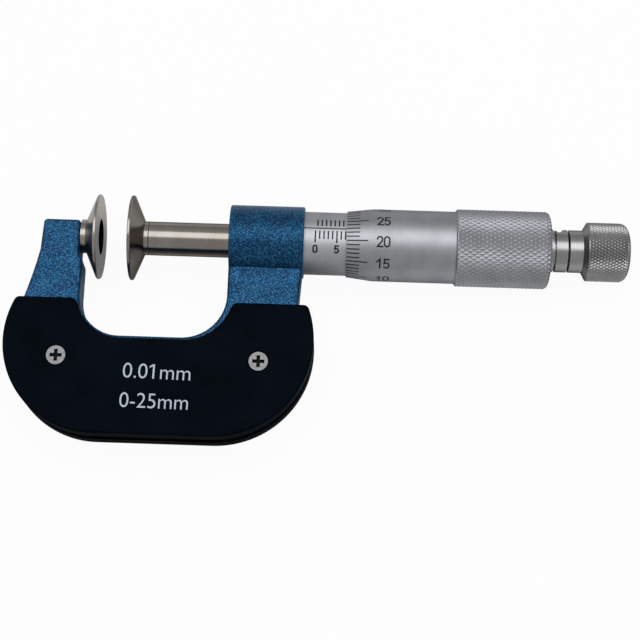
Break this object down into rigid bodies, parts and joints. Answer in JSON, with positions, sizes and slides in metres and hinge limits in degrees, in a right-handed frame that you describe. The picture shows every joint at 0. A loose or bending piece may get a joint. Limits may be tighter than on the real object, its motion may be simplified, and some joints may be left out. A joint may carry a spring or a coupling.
{
  "type": "disc micrometer",
  "caption": "Screw micrometer with wide disc faces on anvil and spindle, a C-shaped bow, graduated sleeve and thimble, and a ratchet stop.",
  "frame": {"origin": "middle of the anvil disc's measuring face, on the spindle's axis", "axes": "+X along the spindle's axis from the anvil to the ratchet knob, +Y from the bow to the spindle, +Z out of the front cover"},
  "size_m": [0.1443, 0.0582, 0.02],
  "materials": {
    "bow_paint": "hammertone paint",
    "cover_plastic": "satin moulded",
    "screw_steel": "zinc plated",
    "ground_steel": "ground and lapped",
    "satin_chrome": "satin chrome",
    "spring_steel": "drawn wire"
  },
  "bodies": {
    "bow": {"frame": "bow_paint", "front_cover": "cover_plastic", "rear_cover": "cover_plastic", "front_cover_screws": "screw_steel", "rear_cover_screws": "screw_steel", "anvil_disc": "ground_steel", "anvil_pin": "ground_steel", "guide_barrel": "ground_steel", "adjusting_nut": "ground_steel", "sleeve": "satin_chrome"},
    "slide_carrier": {"ratchet_spring": "spring_steel"},
    "spindle_group": {"spindle": "ground_steel", "spindle_disc": "ground_steel", "thimble": "satin_chrome", "ratchet_body": "satin_chrome", "ratchet_key_pin": "spring_steel", "ratchet_driver_wheel": "ground_steel", "knob_screw": "screw_steel"},
    "knob_group": {"ratchet_knob": "satin_chrome", "ratchet_knob_wheel": "ground_steel"}
  },
  "joints": [
    {"name": "spindle_travel", "type": "slide", "parent": "bow", "child": "slide_carrier", "axis": [1, 0, 0], "range_m": [-0.00723, 0.01777]},
    {"name": "thimble_turn", "type": "hinge", "parent": "slide_carrier", "child": "spindle_group", "pos_m": [0, 0, 0], "axis": [1, 0, 0], "range_deg": [-5206, 12795]},
    {"name": "ratchet_turn", "type": "hinge", "parent": "spindle_group", "child": "knob_group", "pos_m": [0.1104, 0, 0], "axis": [1, 0, 0], "continuous": true}
  ],
  "couplings": [
    {"joint": "thimble_turn", "follows": "spindle_travel", "rad_per_m": 12566}
  ]
}
